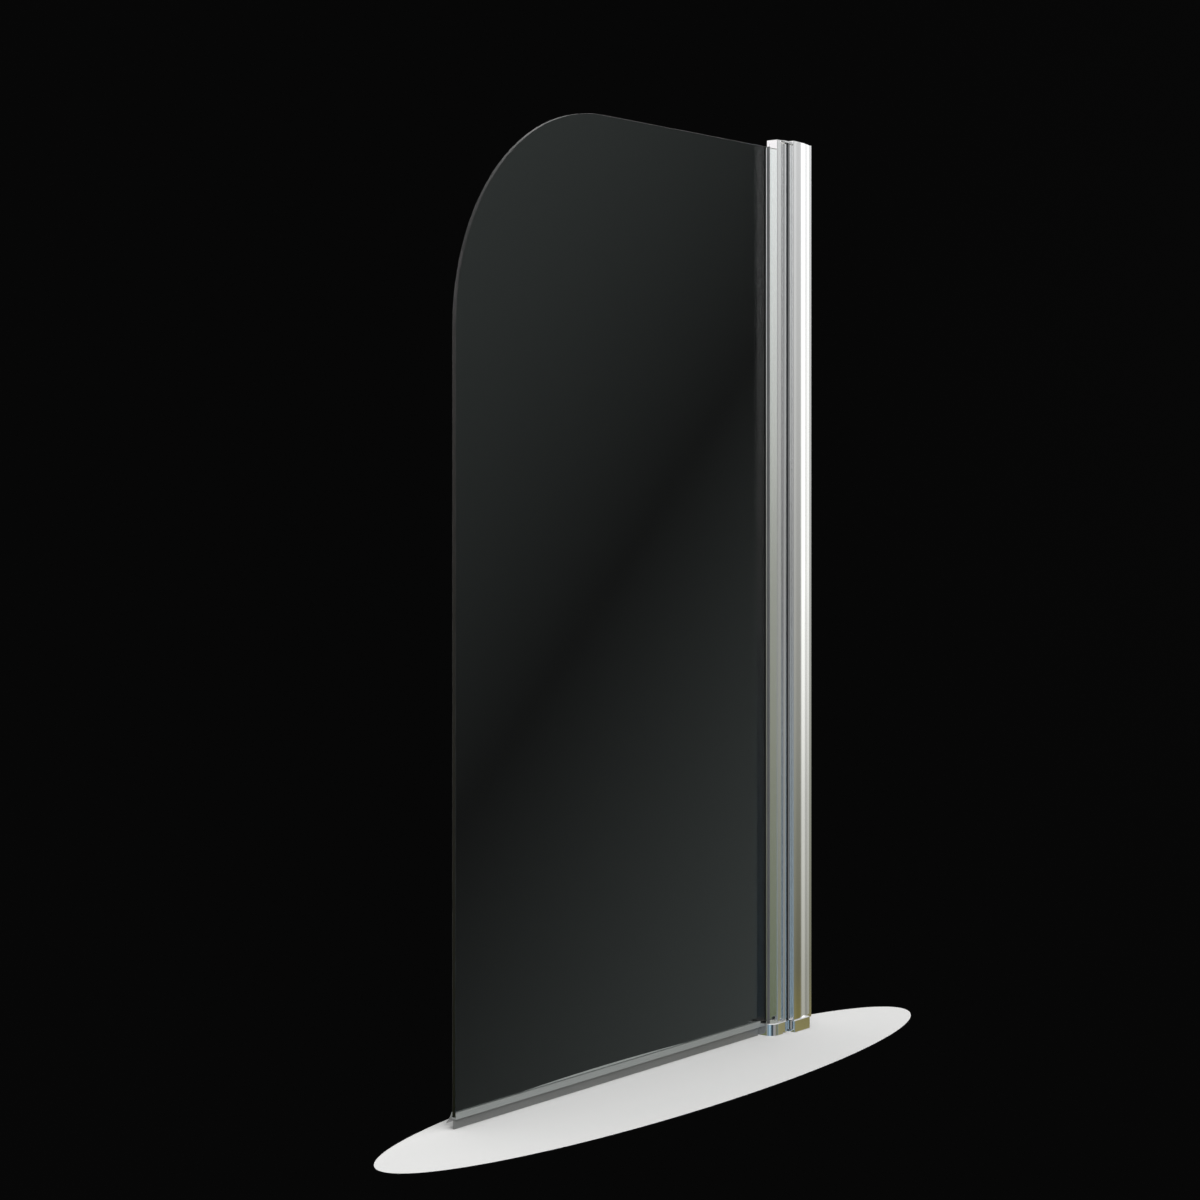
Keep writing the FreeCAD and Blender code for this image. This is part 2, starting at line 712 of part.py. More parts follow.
def make_lock_fittings():
    """Clamp screws through the sleeve and the channel's slots, with nuts, cup washers and covers."""
    x = -sheet.lock_from_wall
    nut_back = channel_back - sheet.channel_wall - sheet.running_gap
    nut_front = nut_back - sheet.lock_nut_depth
    half = sheet.lock_nut / 2
    head_y = adjuster_back + sheet.base_depth
    screws, nuts, bases, covers = [], [], [], []
    for index, z in enumerate(lock_heights(), start=1):
        shank_length = head_y - nut_front + SHOW
        shank = cylinder(f"lock_shank_{index}", sheet.lock_radius, shank_length, x, nut_front - SHOW, z, ALONG_Y)
        head = cylinder(f"lock_head_{index}", sheet.lock_head_radius, sheet.lock_head, x, head_y, z, ALONG_Y)
        slot = block(
            f"lock_slot_{index}",
            (x - sheet.lock_head_radius, head_y + sheet.lock_head / 2, z - DRIVE_SLOT / 2),
            (x + sheet.lock_head_radius, head_y + sheet.lock_head, z + DRIVE_SLOT / 2),
        )
        screws.append(subtract(f"lock_screw_{index}", join(f"lock_blank_{index}", shank, head), slot))
        nut = block(f"lock_nut_block_{index}", (x - half, nut_front, z - half), (x + half, nut_back, z + half))
        nut_bore = cylinder(f"lock_nut_bore_{index}", sheet.lock_radius + sheet.press_gap,
                            sheet.lock_nut_depth, x, nut_front, z, ALONG_Y)
        nuts.append(subtract(f"lock_nut_{index}", nut, nut_bore))
        base = cylinder(f"base_disc_{index}", sheet.base_radius, sheet.base_depth, x, adjuster_back, z, ALONG_Y)
        base_bore = cylinder(f"base_bore_{index}", sheet.lock_radius + sheet.press_gap,
                             sheet.base_depth, x, adjuster_back, z, ALONG_Y)
        bases.append(subtract(f"cover_base_{index}", base, base_bore))
        covers.append(screw_cover(index, x, z))
    group("lock_screws", screws)
    group("lock_nuts", nuts)
    group("cover_bases", bases)
    group("screw_covers", covers)


def screw_cover(index, x, z):
    """A domed shell that snaps over the cup washer."""
    inner = sheet.base_radius + sheet.cover_gap
    shell = domed_drum(f"cover_shell_{index}", inner + sheet.cover_wall, sheet.cover_dome, x, z)
    hollow = domed_drum(f"cover_hollow_{index}", inner, sheet.cover_dome - sheet.cover_wall, x, z)
    return subtract(f"screw_cover_{index}", shell, hollow)


def domed_drum(name, radius, dome, x, z):
    """A short cylinder on the adjuster's back, rounded over by a ball."""
    drum = cylinder(f"{name}_drum", radius, sheet.cover_depth, x, adjuster_back, z, ALONG_Y)
    ball = doc.addObject("Part::Sphere", f"{name}_ball")
    bind(ball, "Radius", dome)
    place(ball, x, adjuster_back + sheet.cover_depth - sheet.cover_dome, z)
    result = doc.addObject("Part::Common", name)
    result.Base = drum
    result.Tool = ball
    return result


# --- The glass and what turns with it -----------------------------------------------------


def make_glass_panel():
    body = keep(new_body("glass_panel"), "glass_panel")
    prism(body, "glass_sheet", glass_front, glass_back, [[
        (glass_left, glass_bottom),
        (glass_right, glass_bottom),
        (glass_right, glass_top),
        (glass_left + sheet.corner_radius, glass_top, Bend(sheet.corner_radius, 1)),
        (glass_left, glass_top - sheet.corner_radius),
    ]], plane="XZ_Plane")
    doc.recompute()
    solid = body.Tip
    flat = [
        f"Edge{index}"
        for index, edge in enumerate(solid.Shape.Edges, start=1)
        if edge.BoundBox.YLength < 1e-6
    ]
    bevel = body.newObject("PartDesign::Chamfer", "glass_arris")
    bevel.Base = (solid, flat)
    bind(bevel, "Size", sheet.arris)


def on_nose(y_offset, side):
    """The X of the nose's circle where Y is that far from the pivot axis."""
    reach = root(sheet.nose_radius * sheet.nose_radius - y_offset * y_offset)
    return pivot_x + reach * side


def make_hinge_profile():
    groove = pivot_x - sheet.groove_offset
    half = sheet.groove_width / 2
    bead_end = sheet.face_forward - sheet.groove_depth
    closed_y = pivot_y + root(
        sheet.nose_radius * sheet.nose_radius - sheet.holder_offset * sheet.holder_offset
    )
    body = keep(new_body("hinge_profile"), "hinge_profile")
    prism(body, "hinge_section", foot_top, holder_top, [
        [
            (holder_left, holder_front),
            (groove - half, holder_front),
            (groove, holder_front + sheet.groove_depth),
            (groove + half, holder_front, Bend(sheet.bead_radius, 1)),
            (on_nose(bead_end, 1), pivot_y - bead_end, Bend(sheet.nose_radius, 1)),
            (pivot_x, nose_back, Bend(sheet.nose_radius, 1)),
            (holder_right, closed_y),
            (holder_right, holder_back),
            (lip_left, holder_back),
            (lip_left, slot_back),
            (slot_end, slot_back),
            (slot_end, slot_front),
            (holder_left, slot_front),
        ],
    ])
    round_upright(body, "hinge_corner", holder_left, holder_front, sheet.corner_round)
    left = holder_left + sheet.wall
    right = pivot_x - sheet.bush_radius - sheet.bore_wall
    cut(body, "lip_end", glass_top, holder_top, [
        rectangle(holder_left - SHOW, glass_front, slot_end, holder_back + SHOW),
    ])
    cut(body, "hinge_chamber", foot_top, holder_top, [
        rectangle(left, holder_front + sheet.wall, right, slot_front - sheet.wall),
    ])
    port_x, port_y = holder_port
    prism(body, "hinge_port", foot_top, holder_top,
          circles=[(port_x, port_y, sheet.port_radius + sheet.port_wall)])
    cut(body, "hinge_bores", foot_top, holder_top, circles=[
        (port_x, port_y, sheet.port_radius),
        (pivot_x, pivot_y, sheet.bush_radius + sheet.bore_gap),
    ])


def make_gaskets():
    for name, lip, near, far in (
        ("front_gasket", holder_left, slot_front, glass_front),
        ("rear_gasket", lip_left, glass_back, slot_back),
    ):
        body = keep(new_body(name), name)
        left = lip - sheet.groove_depth
        prism(body, f"{name}_section", foot_top, glass_top, [rectangle(left, near, glass_right, far)])


def make_blocks():
    half = sheet.edge_block_height / 2
    spacing = sheet.glass_height / (EDGE_BLOCKS + 1)
    pieces = []
    for index in range(1, EDGE_BLOCKS + 1):
        middle = glass_bottom + spacing * index
        low = (glass_right, glass_front, middle - half)
        high = (slot_end, glass_back, middle + half)
        pieces.append(block(f"edge_block_{index}", low, high))
    group("edge_blocks", pieces)
    inset = sheet.foot_reach / 3
    setting = block(
        "setting_block",
        (foot_left + inset, glass_front, glass_bottom - sheet.glass_lift),
        (glass_right - inset, glass_back, glass_bottom),
    )
    keep(setting, "setting_block")


def make_glass_top_cap():
    """A stepped plate with a leg before the glass. It ends at the glass's face, as the lip behind does."""
    body = keep(new_body("glass_top_cap"), "glass_top_cap")
    plate_right = pivot_x - sheet.washer_radius - sheet.foot_step
    shoulder = pivot_y + sheet.washer_radius + sheet.foot_step
    prism(body, "cap_step", holder_top, cap_step, [
        [
            (holder_left, holder_front),
            (plate_right, holder_front),
            (plate_right, shoulder),
            (holder_right, shoulder),
            (holder_right, holder_back),
            (slot_end, holder_back),
            (slot_end, glass_front),
            (holder_left, glass_front),
        ],
    ])
    prism(body, "cap_head", cap_step, top, [rectangle(holder_left, holder_front, step_x, glass_front)])
    gap = sheet.cap_gap
    prism(body, "cap_leg", glass_top + gap, holder_top, [
        rectangle(holder_left, slot_front + gap, slot_end - gap, glass_front),
    ])
    round_upright(body, "cap_corner", holder_left, holder_front, sheet.corner_round)
    bevel_rim(body, "cap_bevel", top, sheet.cap_bevel)
    port_x, port_y = holder_port
    cut(body, "cap_screw_hole", holder_top, top, circles=[(port_x, port_y, sheet.screw_clear)])
    cut(body, "cap_head_recess", top - sheet.head_height, top,
        circles=[(port_x, port_y, sheet.head_radius + sheet.head_gap)])
    slotted_screw("top_cap_screw", sheet.screw_radius, sheet.screw_length, sheet.head_radius,
                  sheet.head_height, port_x, port_y, top, True)


def foot_end():
    """The turning foot's left end, from its back to its rounded front corner."""
    return [
        (foot_left, holder_back),
        (foot_left, nose_front + sheet.foot_round, Bend(sheet.foot_round, 1)),
        (foot_left + sheet.foot_round, nose_front),
    ]


def make_glass_shoe():
    body = keep(new_body("glass_shoe"), "glass_shoe")
    prism(body, "shoe_sole", rim, foot_floor, [
        foot_end() + [(step_x, nose_front), (step_x, holder_back)],
    ])
    prism(body, "shoe_block", foot_floor, foot_top, [
        foot_end() + [
            (pivot_x, nose_front, Bend(sheet.nose_radius, 1)),
            (pivot_x, nose_back),
            (holder_right, nose_back),
            (holder_right, holder_back),
        ],
    ])
    bevel_rim(body, "shoe_top_bevel", foot_top, sheet.foot_bevel)
    bevel_rim(body, "shoe_rim_bevel", rim, sheet.foot_bevel)
    cut(body, "shoe_slot", glass_bottom - sheet.glass_lift, foot_top, [
        rectangle(foot_left - SHOW, glass_front - sheet.glass_gap, slot_end, slot_back),
    ])
    port_x, port_y = holder_port
    cut(body, "shoe_screw_hole", rim, foot_top, circles=[(port_x, port_y, sheet.screw_clear)])
    cut(body, "shoe_head_recess", rim, arm_top + sheet.head_height,
        circles=[(port_x, port_y, sheet.head_radius + sheet.head_gap)])
    cut(body, "shoe_bore", foot_floor, foot_top, circles=[
        (pivot_x, pivot_y, sheet.bush_radius + sheet.bore_gap),
    ])
    slotted_screw("shoe_screw", sheet.screw_radius, sheet.screw_length + sheet.foot_height,
                  sheet.head_radius, sheet.head_height, port_x, port_y, arm_top, False)


def make_bushes():
    hole = sheet.pin_radius + sheet.running_gap
    outer = sheet.bush_radius
    length = sheet.bush_length
    keep(ring("top_bush", outer, hole, length, pivot_x, pivot_y, holder_top - length), "top_bush")
    keep(ring("bottom_bush", outer, hole, length, pivot_x, pivot_y, foot_floor), "bottom_bush")


def make_bottom_seal():
    """A clip over the glass's lower edge, a blade down to the rim and a deflector fin behind."""
    front = glass_front - sheet.clip_wall
    back = glass_back + sheet.clip_wall
    web = glass_bottom - sheet.clip_web
    blade = sheet.blade_top / 2
    root_low = glass_bottom + sheet.fin_root - sheet.fin_thickness
    root_high = glass_bottom + sheet.fin_root
    tip_y = back + sheet.fin_out
    tip_z = glass_bottom - sheet.fin_drop
    body = keep(new_body("bottom_seal"), "bottom_seal")
    prism(body, "seal_section", glass_left, foot_left - sheet.seal_gap, [[
        (front, web),
        (0, web),
        ((sheet.blade_top - sheet.blade_tip) / 2, rim),
        ((sheet.blade_top + sheet.blade_tip) / 2, rim),
        (blade * 2, web),
        (back, web),
        (back, root_low, Bend(sheet.fin_curve, 1)),
        (tip_y - sheet.blade_top / 2, tip_z - sheet.blade_tip / 2),
        (tip_y, tip_z, Bend(sheet.fin_curve, -1)),
        (back, root_high),
        (back, glass_bottom + sheet.rear_leg),
        (glass_back, glass_bottom + sheet.rear_leg),
        (glass_back, glass_bottom),
        (glass_front, glass_bottom),
        (glass_front, glass_bottom + sheet.front_leg),
        (front, glass_bottom + sheet.front_leg),
    ]], plane="YZ_Plane")


def check_model():
    """Stops before anything is written if an object has failed or a node is not sound."""
    for thing in doc.Objects:
        if {"Invalid", "Error"} & set(thing.State):
            raise RuntimeError(f"{thing.Label} failed: {thing.State}")
    for node in nodes:
        if node.Shape.isNull() or not node.Shape.isValid():
            raise RuntimeError(f"{node.Label} has no sound shape")


def write_nodes():
    os.makedirs("parts", exist_ok=True)
    for node in nodes:
        node.Shape.exportStep(f"parts/{node.Label}.step")
        print(f"{node.Label}: {len(node.Shape.Solids)} solid(s), {node.Shape.Volume / 1000:.2f} cm3")


make_wall_channel()
make_channel_top_plug()
make_adjuster_profile()
make_hinge_gap_seal()
make_top_hinge_arm()
make_bottom_hinge_arm()
make_pins_and_washers()
make_arm_screws()
make_lock_fittings()
make_glass_panel()
make_hinge_profile()
make_gaskets()
make_blocks()
make_glass_top_cap()
make_glass_shoe()
make_bushes()
make_bottom_seal()
doc.recompute()
check_model()
write_nodes()
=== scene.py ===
"""Looks of the pivoting bath screen: its finishes, a plain studio and the camera."""

import json
import logging
import math
from dataclasses import dataclass
from enum import Enum
from typing import Any, Dict, List, Sequence, Tuple

import bmesh
import bpy
from mathutils import Matrix, Vector

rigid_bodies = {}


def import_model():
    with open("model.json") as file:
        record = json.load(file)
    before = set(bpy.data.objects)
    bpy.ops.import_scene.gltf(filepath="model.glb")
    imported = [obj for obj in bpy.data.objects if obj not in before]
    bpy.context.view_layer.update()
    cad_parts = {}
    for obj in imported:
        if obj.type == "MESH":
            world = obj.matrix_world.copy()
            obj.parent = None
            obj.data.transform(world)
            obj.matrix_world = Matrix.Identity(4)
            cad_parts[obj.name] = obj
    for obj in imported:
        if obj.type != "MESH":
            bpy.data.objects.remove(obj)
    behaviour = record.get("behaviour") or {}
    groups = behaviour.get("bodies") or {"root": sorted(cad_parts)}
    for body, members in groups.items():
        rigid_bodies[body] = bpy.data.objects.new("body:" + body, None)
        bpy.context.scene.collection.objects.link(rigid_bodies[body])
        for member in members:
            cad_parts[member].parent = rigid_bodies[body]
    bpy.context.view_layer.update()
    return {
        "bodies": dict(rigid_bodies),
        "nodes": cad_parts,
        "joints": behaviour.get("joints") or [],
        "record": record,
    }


LOG = logging.getLogger("bath_screen")

Colour = Tuple[float, float, float]
Triple = Tuple[float, float, float]
Span = Tuple[float, float]
Stop = Tuple[float, Colour]
Names = Tuple[str, ...]
Socket = bpy.types.NodeSocket
Material = bpy.types.Material

EVEN = (1.0, 1.0, 1.0)
UP = (0.0, 0.0, 1.0)
STRAIGHT_DOWN = -1.0
BLACK = (0.0, 0.0, 0.0)
CLOUD_LOW = 0.3
CLOUD_HIGH = 0.7
MATT_ROUGHNESS = 0.9
MATT_GLOSS = 0.1


def rgba(colour: Colour) -> Tuple[float, float, float, float]:
    """Gives a colour full alpha."""
    return (*colour, 1.0)


def grey(level: float) -> Colour:
    """Gives the grey of a level."""
    return (level, level, level)


@dataclass(frozen=True)
class Pattern:
    """A soft cloudy pattern: waves to the metre, finer layers and a stretch along each axis."""

    scale: float
    detail: float
    stretch: Triple = EVEN


METAL_CLOUDS = Pattern(3.0, 3.0)
DRAWN_LINES = Pattern(14.0, 4.0, (1.0, 1.0, 0.01))
POLISHING_MARKS = Pattern(14.0, 4.0)
GLASS_WAVES = Pattern(2.2, 1.0)
PLASTIC_CLOUDS = Pattern(9.0, 4.0)
PLASTIC_SHEEN = Pattern(60.0, 3.0)
PLASTIC_SKIN = Pattern(1400.0, 2.0)
SEAL_CLOUDS = Pattern(7.0, 2.0, (1.0, 8.0, 8.0))
SEAL_LINES = Pattern(420.0, 2.0, (0.004, 1.0, 1.0))


class Tree:
    """A node tree, built up by small steps."""

    def __init__(self, tree: bpy.types.NodeTree) -> None:
        """Takes over a node tree.

        Args:
            tree: The node tree of a material or a world.
        """
        self.nodes = tree.nodes
        self.links = tree.links

    def add(self, kind: str, **settings: Any) -> bpy.types.Node:
        """Adds a node and sets its properties.

        Args:
            kind: The node's type.
            settings: Its properties by name.

        Returns:
            The new node.
        """
        node = self.nodes.new(kind)
        for name, value in settings.items():
            setattr(node, name, value)
        return node

    def join(self, source: Socket, target: Socket) -> None:
        """Links an output to an input."""
        self.links.new(source, target)

    def ramp(self, value: Socket, stops: Sequence[Stop]) -> Socket:
        """Turns a value into a colour.

        Args:
            value: The socket with the value, from 0 to 1.
            stops: Places from 0 to 1 in rising order, each with its colour.

        Returns:
            The socket with the colour.
        """
        node = self.add("ShaderNodeValToRGB")
        elements = node.color_ramp.elements
        while len(elements) < len(stops):
            elements.new(1.0)
        for element, (position, colour) in zip(elements, stops):
            element.position = position
            element.color = rgba(colour)
        self.join(value, node.inputs["Fac"])
        return node.outputs["Color"]


class Graph(Tree):
    """A material's node tree."""

    def __init__(self, name: str) -> None:
        """Starts a material that holds only its output and a principled shader.

        Args:
            name: The material's name.
        """
        self.material = bpy.data.materials.new(name)
        self.material.use_nodes = True
        super().__init__(self.material.node_tree)
        self.nodes.clear()
        self.output = self.add("ShaderNodeOutputMaterial")
        self.shader = self.add("ShaderNodeBsdfPrincipled")
        self.join(self.shader.outputs["BSDF"], self.output.inputs["Surface"])

    def place(self, scale: Triple = EVEN) -> Socket:
        """Gives the place on the object, stretched.

        Args:
            scale: Factors along X, Y and Z.

        Returns:
            The socket with the place.
        """
        coordinates = self.add("ShaderNodeTexCoord")
        mapping = self.add("ShaderNodeMapping")
        mapping.inputs["Scale"].default_value = scale
        self.join(coordinates.outputs["Object"], mapping.inputs["Vector"])
        return mapping.outputs["Vector"]

    def noise(self, pattern: Pattern) -> Socket:
        """Draws a cloudy pattern over the object.

        Args:
            pattern: How fine it is and how it is stretched.

        Returns:
            The socket with its value from 0 to 1.
        """
        node = self.add("ShaderNodeTexNoise")
        node.inputs["Scale"].default_value = pattern.scale
        node.inputs["Detail"].default_value = pattern.detail
        self.join(self.place(pattern.stretch), node.inputs["Vector"])
        return node.outputs["Fac"]

    def span(self, value: Socket, low: float, high: float) -> Socket:
        """Spreads a value of 0 to 1 over another range.

        Args:
            value: The socket with the value.
            low: What 0 becomes.
            high: What 1 becomes.

        Returns:
            The socket with the new value.
        """
        node = self.add("ShaderNodeMapRange")
        node.inputs["To Min"].default_value = low
        node.inputs["To Max"].default_value = high
        self.join(value, node.inputs["Value"])
        return node.outputs["Result"]

    def clouded(self, pattern: Pattern, first: Colour, second: Colour) -> Socket:
        """Lets a colour wander between two colours.

        Args:
            pattern: The pattern that chooses between them.
            first: The colour where the pattern is low.
            second: The colour where it is high.

        Returns:
            The socket with the colour.
        """
        return self.ramp(self.noise(pattern), ((CLOUD_LOW, first), (CLOUD_HIGH, second)))

    def times(self, first: Socket, second: Socket) -> Socket:
        """Multiplies two colours.

        Args:
            first: The socket with one colour.
            second: The socket with the other.

        Returns:
            The socket with their product.
        """
        product = self.add("ShaderNodeVectorMath", operation="MULTIPLY")
        self.join(first, product.inputs[0])
        self.join(second, product.inputs[1])
        return product.outputs["Vector"]

    def along(self, way: Sequence[float], start: float, end: float) -> Socket:
        """Gives how far a point lies along a way, as 0 at the start and 1 at the end.

        Args:
            way: The way, of unit length.
            start: The distance that counts as 0.
            end: The distance that counts as 1.

        Returns:
            The socket with the value.
        """
        product = self.add("ShaderNodeVectorMath", operation="DOT_PRODUCT")
        product.inputs[1].default_value = way
        self.join(self.place(), product.inputs[0])
        spread = self.add("ShaderNodeMapRange")
        spread.inputs["From Min"].default_value = start
        spread.inputs["From Max"].default_value = end
        self.join(product.outputs["Value"], spread.inputs["Value"])
        return spread.outputs["Result"]

    def relief(self, value: Socket, depth: float, strength: float) -> None:
        """Turns a pattern into surface relief.

        Args:
            value: The socket with the pattern.
            depth: The relief's depth in metres.
            strength: How much of it shows, from 0 to 1.
        """
        bump = self.add("ShaderNodeBump")
        bump.inputs["Distance"].default_value = depth
        bump.inputs["Strength"].default_value = strength
        self.join(value, bump.inputs["Height"])
        self.join(bump.outputs["Normal"], self.shader.inputs["Normal"])

    def paint(self, colour: Colour) -> None:
        """Makes the surface plain and matt.

        Args:
            colour: Its colour.
        """
        self.shader.inputs["Base Color"].default_value = rgba(colour)
        self.shader.inputs["Roughness"].default_value = MATT_ROUGHNESS
        self.shader.inputs["Specular IOR Level"].default_value = MATT_GLOSS

    def glow(self, colour: Socket, strength: float) -> Socket:
        """Makes the surface one that only gives light.

        Args:
            colour: The socket with the light's colour.
            strength: How strong the light is.

        Returns:
            The socket with the light.
        """
        light = self.add("ShaderNodeEmission")
        light.inputs["Strength"].default_value = strength
        self.join(colour, light.inputs["Color"])
        self.nodes.remove(self.shader)
        self.join(light.outputs["Emission"], self.output.inputs["Surface"])
        return light.outputs["Emission"]

    def clear(self) -> Socket:
        """Gives a surface that lets everything through."""
        return self.add("ShaderNodeBsdfTransparent").outputs["BSDF"]

    def choose_mirrored(self, direct: Socket, mirrored: Socket) -> None:
        """Shows one surface directly and another in mirrors.

        Args:
            direct: What shows directly or through the pane.
            mirrored: What shows after a reflection.
        """
        rays = self.add("ShaderNodeLightPath")
        once = self.add("ShaderNodeMath", operation="MINIMUM")
        once.inputs[1].default_value = 1.0
        choice = self.add("ShaderNodeMixShader")
        self.join(rays.outputs["Glossy Depth"], once.inputs[0])
        self.join(once.outputs["Value"], choice.inputs["Fac"])
        self.join(direct, choice.inputs[1])
        self.join(mirrored, choice.inputs[2])
        self.join(choice.outputs["Shader"], self.output.inputs["Surface"])


class Polish(Enum):
    """How far a metal is polished, as its least and greatest roughness."""

    EXTRUSION = (0.05, 0.12)
    CASTING = (0.04, 0.10)
    TURNED = (0.22, 0.36)


@dataclass(frozen=True)
class Metal:
    """A bright metal with faint marks from drawing or polishing."""

    name: str
    colour: Colour
    shade: Colour
    polish: Polish
    marks: Pattern

    def make(self) -> Material:
        """Builds the material: colour, and an uneven polish that follows the marks.

        Returns:
            The material.
        """
        graph = Graph(self.name)
        shader = graph.shader
        shader.inputs["Metallic"].default_value = 1.0
        colour = graph.clouded(METAL_CLOUDS, self.colour, self.shade)
        graph.join(colour, shader.inputs["Base Color"])
        roughness = graph.span(graph.noise(self.marks), *self.polish.value)
        graph.join(roughness, shader.inputs["Roughness"])
        return graph.material


@dataclass(frozen=True)
class Glass:
    """Clear toughened glass with a faint green body."""

    name: str
    colour: Colour
    index: float
    wave_depth: float = 0.00004
    wave_strength: float = 0.2

    def make(self) -> Material:
        """Builds the material: clear and smooth, with the slightest waviness of toughening.

        Returns:
            The material.
        """
        graph = Graph(self.name)
        shader = graph.shader
        shader.inputs["Base Color"].default_value = rgba(self.colour)
        shader.inputs["Transmission Weight"].default_value = 1.0
        shader.inputs["IOR"].default_value = self.index
        shader.inputs["Roughness"].default_value = 0.0
        graph.relief(graph.noise(GLASS_WAVES), self.wave_depth, self.wave_strength)
        return graph.material


@dataclass(frozen=True)
class Moulded:
    """A moulded or extruded plastic or rubber with a fine skin."""

    name: str
    colour: Colour
    shade: Colour
    roughness: Span
    skin: float
    gloss: float = 0.5
    skin_depth: float = 0.00004

    def make(self) -> Material:
        """Builds the material: a slightly uneven colour, sheen and skin.

        Returns:
            The material.
        """
        graph = Graph(self.name)
        shader = graph.shader
        shader.inputs["Specular IOR Level"].default_value = self.gloss
        colour = graph.clouded(PLASTIC_CLOUDS, self.colour, self.shade)
        graph.join(colour, shader.inputs["Base Color"])
        sheen = graph.span(graph.noise(PLASTIC_SHEEN), *self.roughness)
        graph.join(sheen, shader.inputs["Roughness"])
        graph.relief(graph.noise(PLASTIC_SKIN), self.skin_depth, self.skin)
        return graph.material


@dataclass(frozen=True)
class SealWithPaintedShade:
    """A seal with its own colour on the clip above, and painted shade that darkens its lower part
    below a set height.
    """

    name: str
    clip: Colour
    blade_painted_shade: Colour
    painted_shade_height: float
    painted_shade_fade: float
    roughness: Span
    cloud_level: float = 0.94
    line_depth: float = 0.00003
    line_strength: float = 0.25

    def make(self) -> Material:
        """Builds the material: the clip's colour above, painted shade on the lower part with a soft
        edge, and faint lines along the draw.

        Returns:
            The material.
        """
        graph = Graph(self.name)
        # Painted shade: below the set height the seal's colour fades to the darker painted-shade
        # colour.
        height = graph.along(UP, self.painted_shade_height - self.painted_shade_fade, self.painted_shade_height)
        plastic = graph.ramp(height, ((0.0, self.blade_painted_shade), (1.0, self.clip)))
        cloud = graph.clouded(SEAL_CLOUDS, grey(self.cloud_level), grey(1.0))
        graph.join(graph.times(plastic, cloud), graph.shader.inputs["Base Color"])
        lines = graph.noise(SEAL_LINES)
        graph.join(graph.span(lines, *self.roughness), graph.shader.inputs["Roughness"])
        graph.relief(lines, self.line_depth, self.line_strength)
        return graph.material


PROFILE = Metal(
    name="polished_extrusion",
    colour=(0.86, 0.865, 0.87),
    shade=(0.82, 0.828, 0.835),
    polish=Polish.EXTRUSION,
    marks=DRAWN_LINES,
)
CASTING = Metal(
    name="chromed_casting",
    colour=(0.87, 0.875, 0.88),
    shade=(0.84, 0.848, 0.855),
    polish=Polish.CASTING,
    marks=POLISHING_MARKS,
)
STAINLESS = Metal(
    name="stainless_steel",
    colour=(0.62, 0.615, 0.605),
    shade=(0.56, 0.555, 0.55),
    polish=Polish.TURNED,
    marks=POLISHING_MARKS,
)
CLEAR_GLASS = Glass(
    name="clear_toughened_glass",
    colour=(0.90, 0.955, 0.935),
    index=1.5,
)
GASKET = Moulded(
    name="glazing_gasket",
    colour=(0.135, 0.139, 0.143),
    shade=(0.11, 0.114, 0.118),
    roughness=(0.38, 0.55),
    skin=0.3,
)
GAP_STRIP = Moulded(
    name="gap_strip",
    colour=(0.028, 0.03, 0.032),
    shade=(0.02, 0.021, 0.023),
    roughness=(0.42, 0.6),
    skin=0.3,
)
# The seal's lower part carries painted shade, darker below height 0.
SEAL = SealWithPaintedShade(
    name="seal_painted_shade",
    clip=(0.25, 0.265, 0.26),
    blade_painted_shade=(0.155, 0.158, 0.156),
    painted_shade_height=0.0,
    painted_shade_fade=0.0012,
    roughness=(0.24, 0.36),
)
NYLON = Moulded(
    name="natural_nylon",
    colour=(0.80, 0.79, 0.76),
    shade=(0.74, 0.73, 0.70),
    roughness=(0.45, 0.6),
    skin=0.25,
)
PLUG = Moulded(
    name="grey_plug",
    colour=(0.42, 0.43, 0.44),
    shade=(0.38, 0.39, 0.40),
    roughness=(0.3, 0.42),
    skin=0.2,
)
COVER = Moulded(
    name="silver_cover",
    colour=(0.62, 0.63, 0.64),
    shade=(0.57, 0.58, 0.59),
    roughness=(0.16, 0.26),
    skin=0.1,
    gloss=0.7,
)
PACKING = Moulded(
    name="black_packing",
    colour=(0.02, 0.02, 0.022),
    shade=(0.014, 0.014, 0.016),
    roughness=(0.5, 0.7),
    skin=0.4,
)
FINISHES = (
    PROFILE,
    CASTING,
    STAINLESS,
    CLEAR_GLASS,
    GASKET,
    GAP_STRIP,
    SEAL,
    NYLON,
    PLUG,
    COVER,
    PACKING,
)


def dress(frame: Dict[str, Any], names: Sequence[str], material: Material) -> None:
    """Gives nodes a material in every slot.

    Args:
        names: The nodes.
        material: What they are made of.
    """
    for name in names:
        node = frame["nodes"][name]
        for slot in node.material_slots:
            slot.material = material
        LOG.info("%s: %s", name, material.name)


@dataclass(frozen=True)
class WallSide:
    """The wall channel, and the adjuster with the fixed halves of the hinge."""

    profiles: Names = ("wall_channel", "adjuster_profile")
    castings: Names = ("top_hinge_arm", "bottom_hinge_arm")
    steel: Names = (
        "top_hinge_pin",
        "bottom_hinge_pin",
        "top_arm_screw",
        "bottom_arm_screw",
        "lock_screws",
        "lock_nuts",
    )
    nylon: Names = ("cover_bases", "top_thrust_washer", "bottom_thrust_washer")
    covers: Names = ("screw_covers",)
    plugs: Names = ("channel_top_plug",)
    gap_strips: Names = ("hinge_gap_seal",)

    def finish(self, frame: Dict[str, Any], finishes: Dict[str, Material]) -> None:
        """Dresses the nodes of the wall side.

        Args:
            finishes: The materials by name.
        """
        dress(frame, self.profiles, finishes[PROFILE.name])
        dress(frame, self.castings, finishes[CASTING.name])
        dress(frame, self.steel, finishes[STAINLESS.name])
        dress(frame, self.nylon, finishes[NYLON.name])
        dress(frame, self.covers, finishes[COVER.name])
        dress(frame, self.plugs, finishes[PLUG.name])
        dress(frame, self.gap_strips, finishes[GAP_STRIP.name])


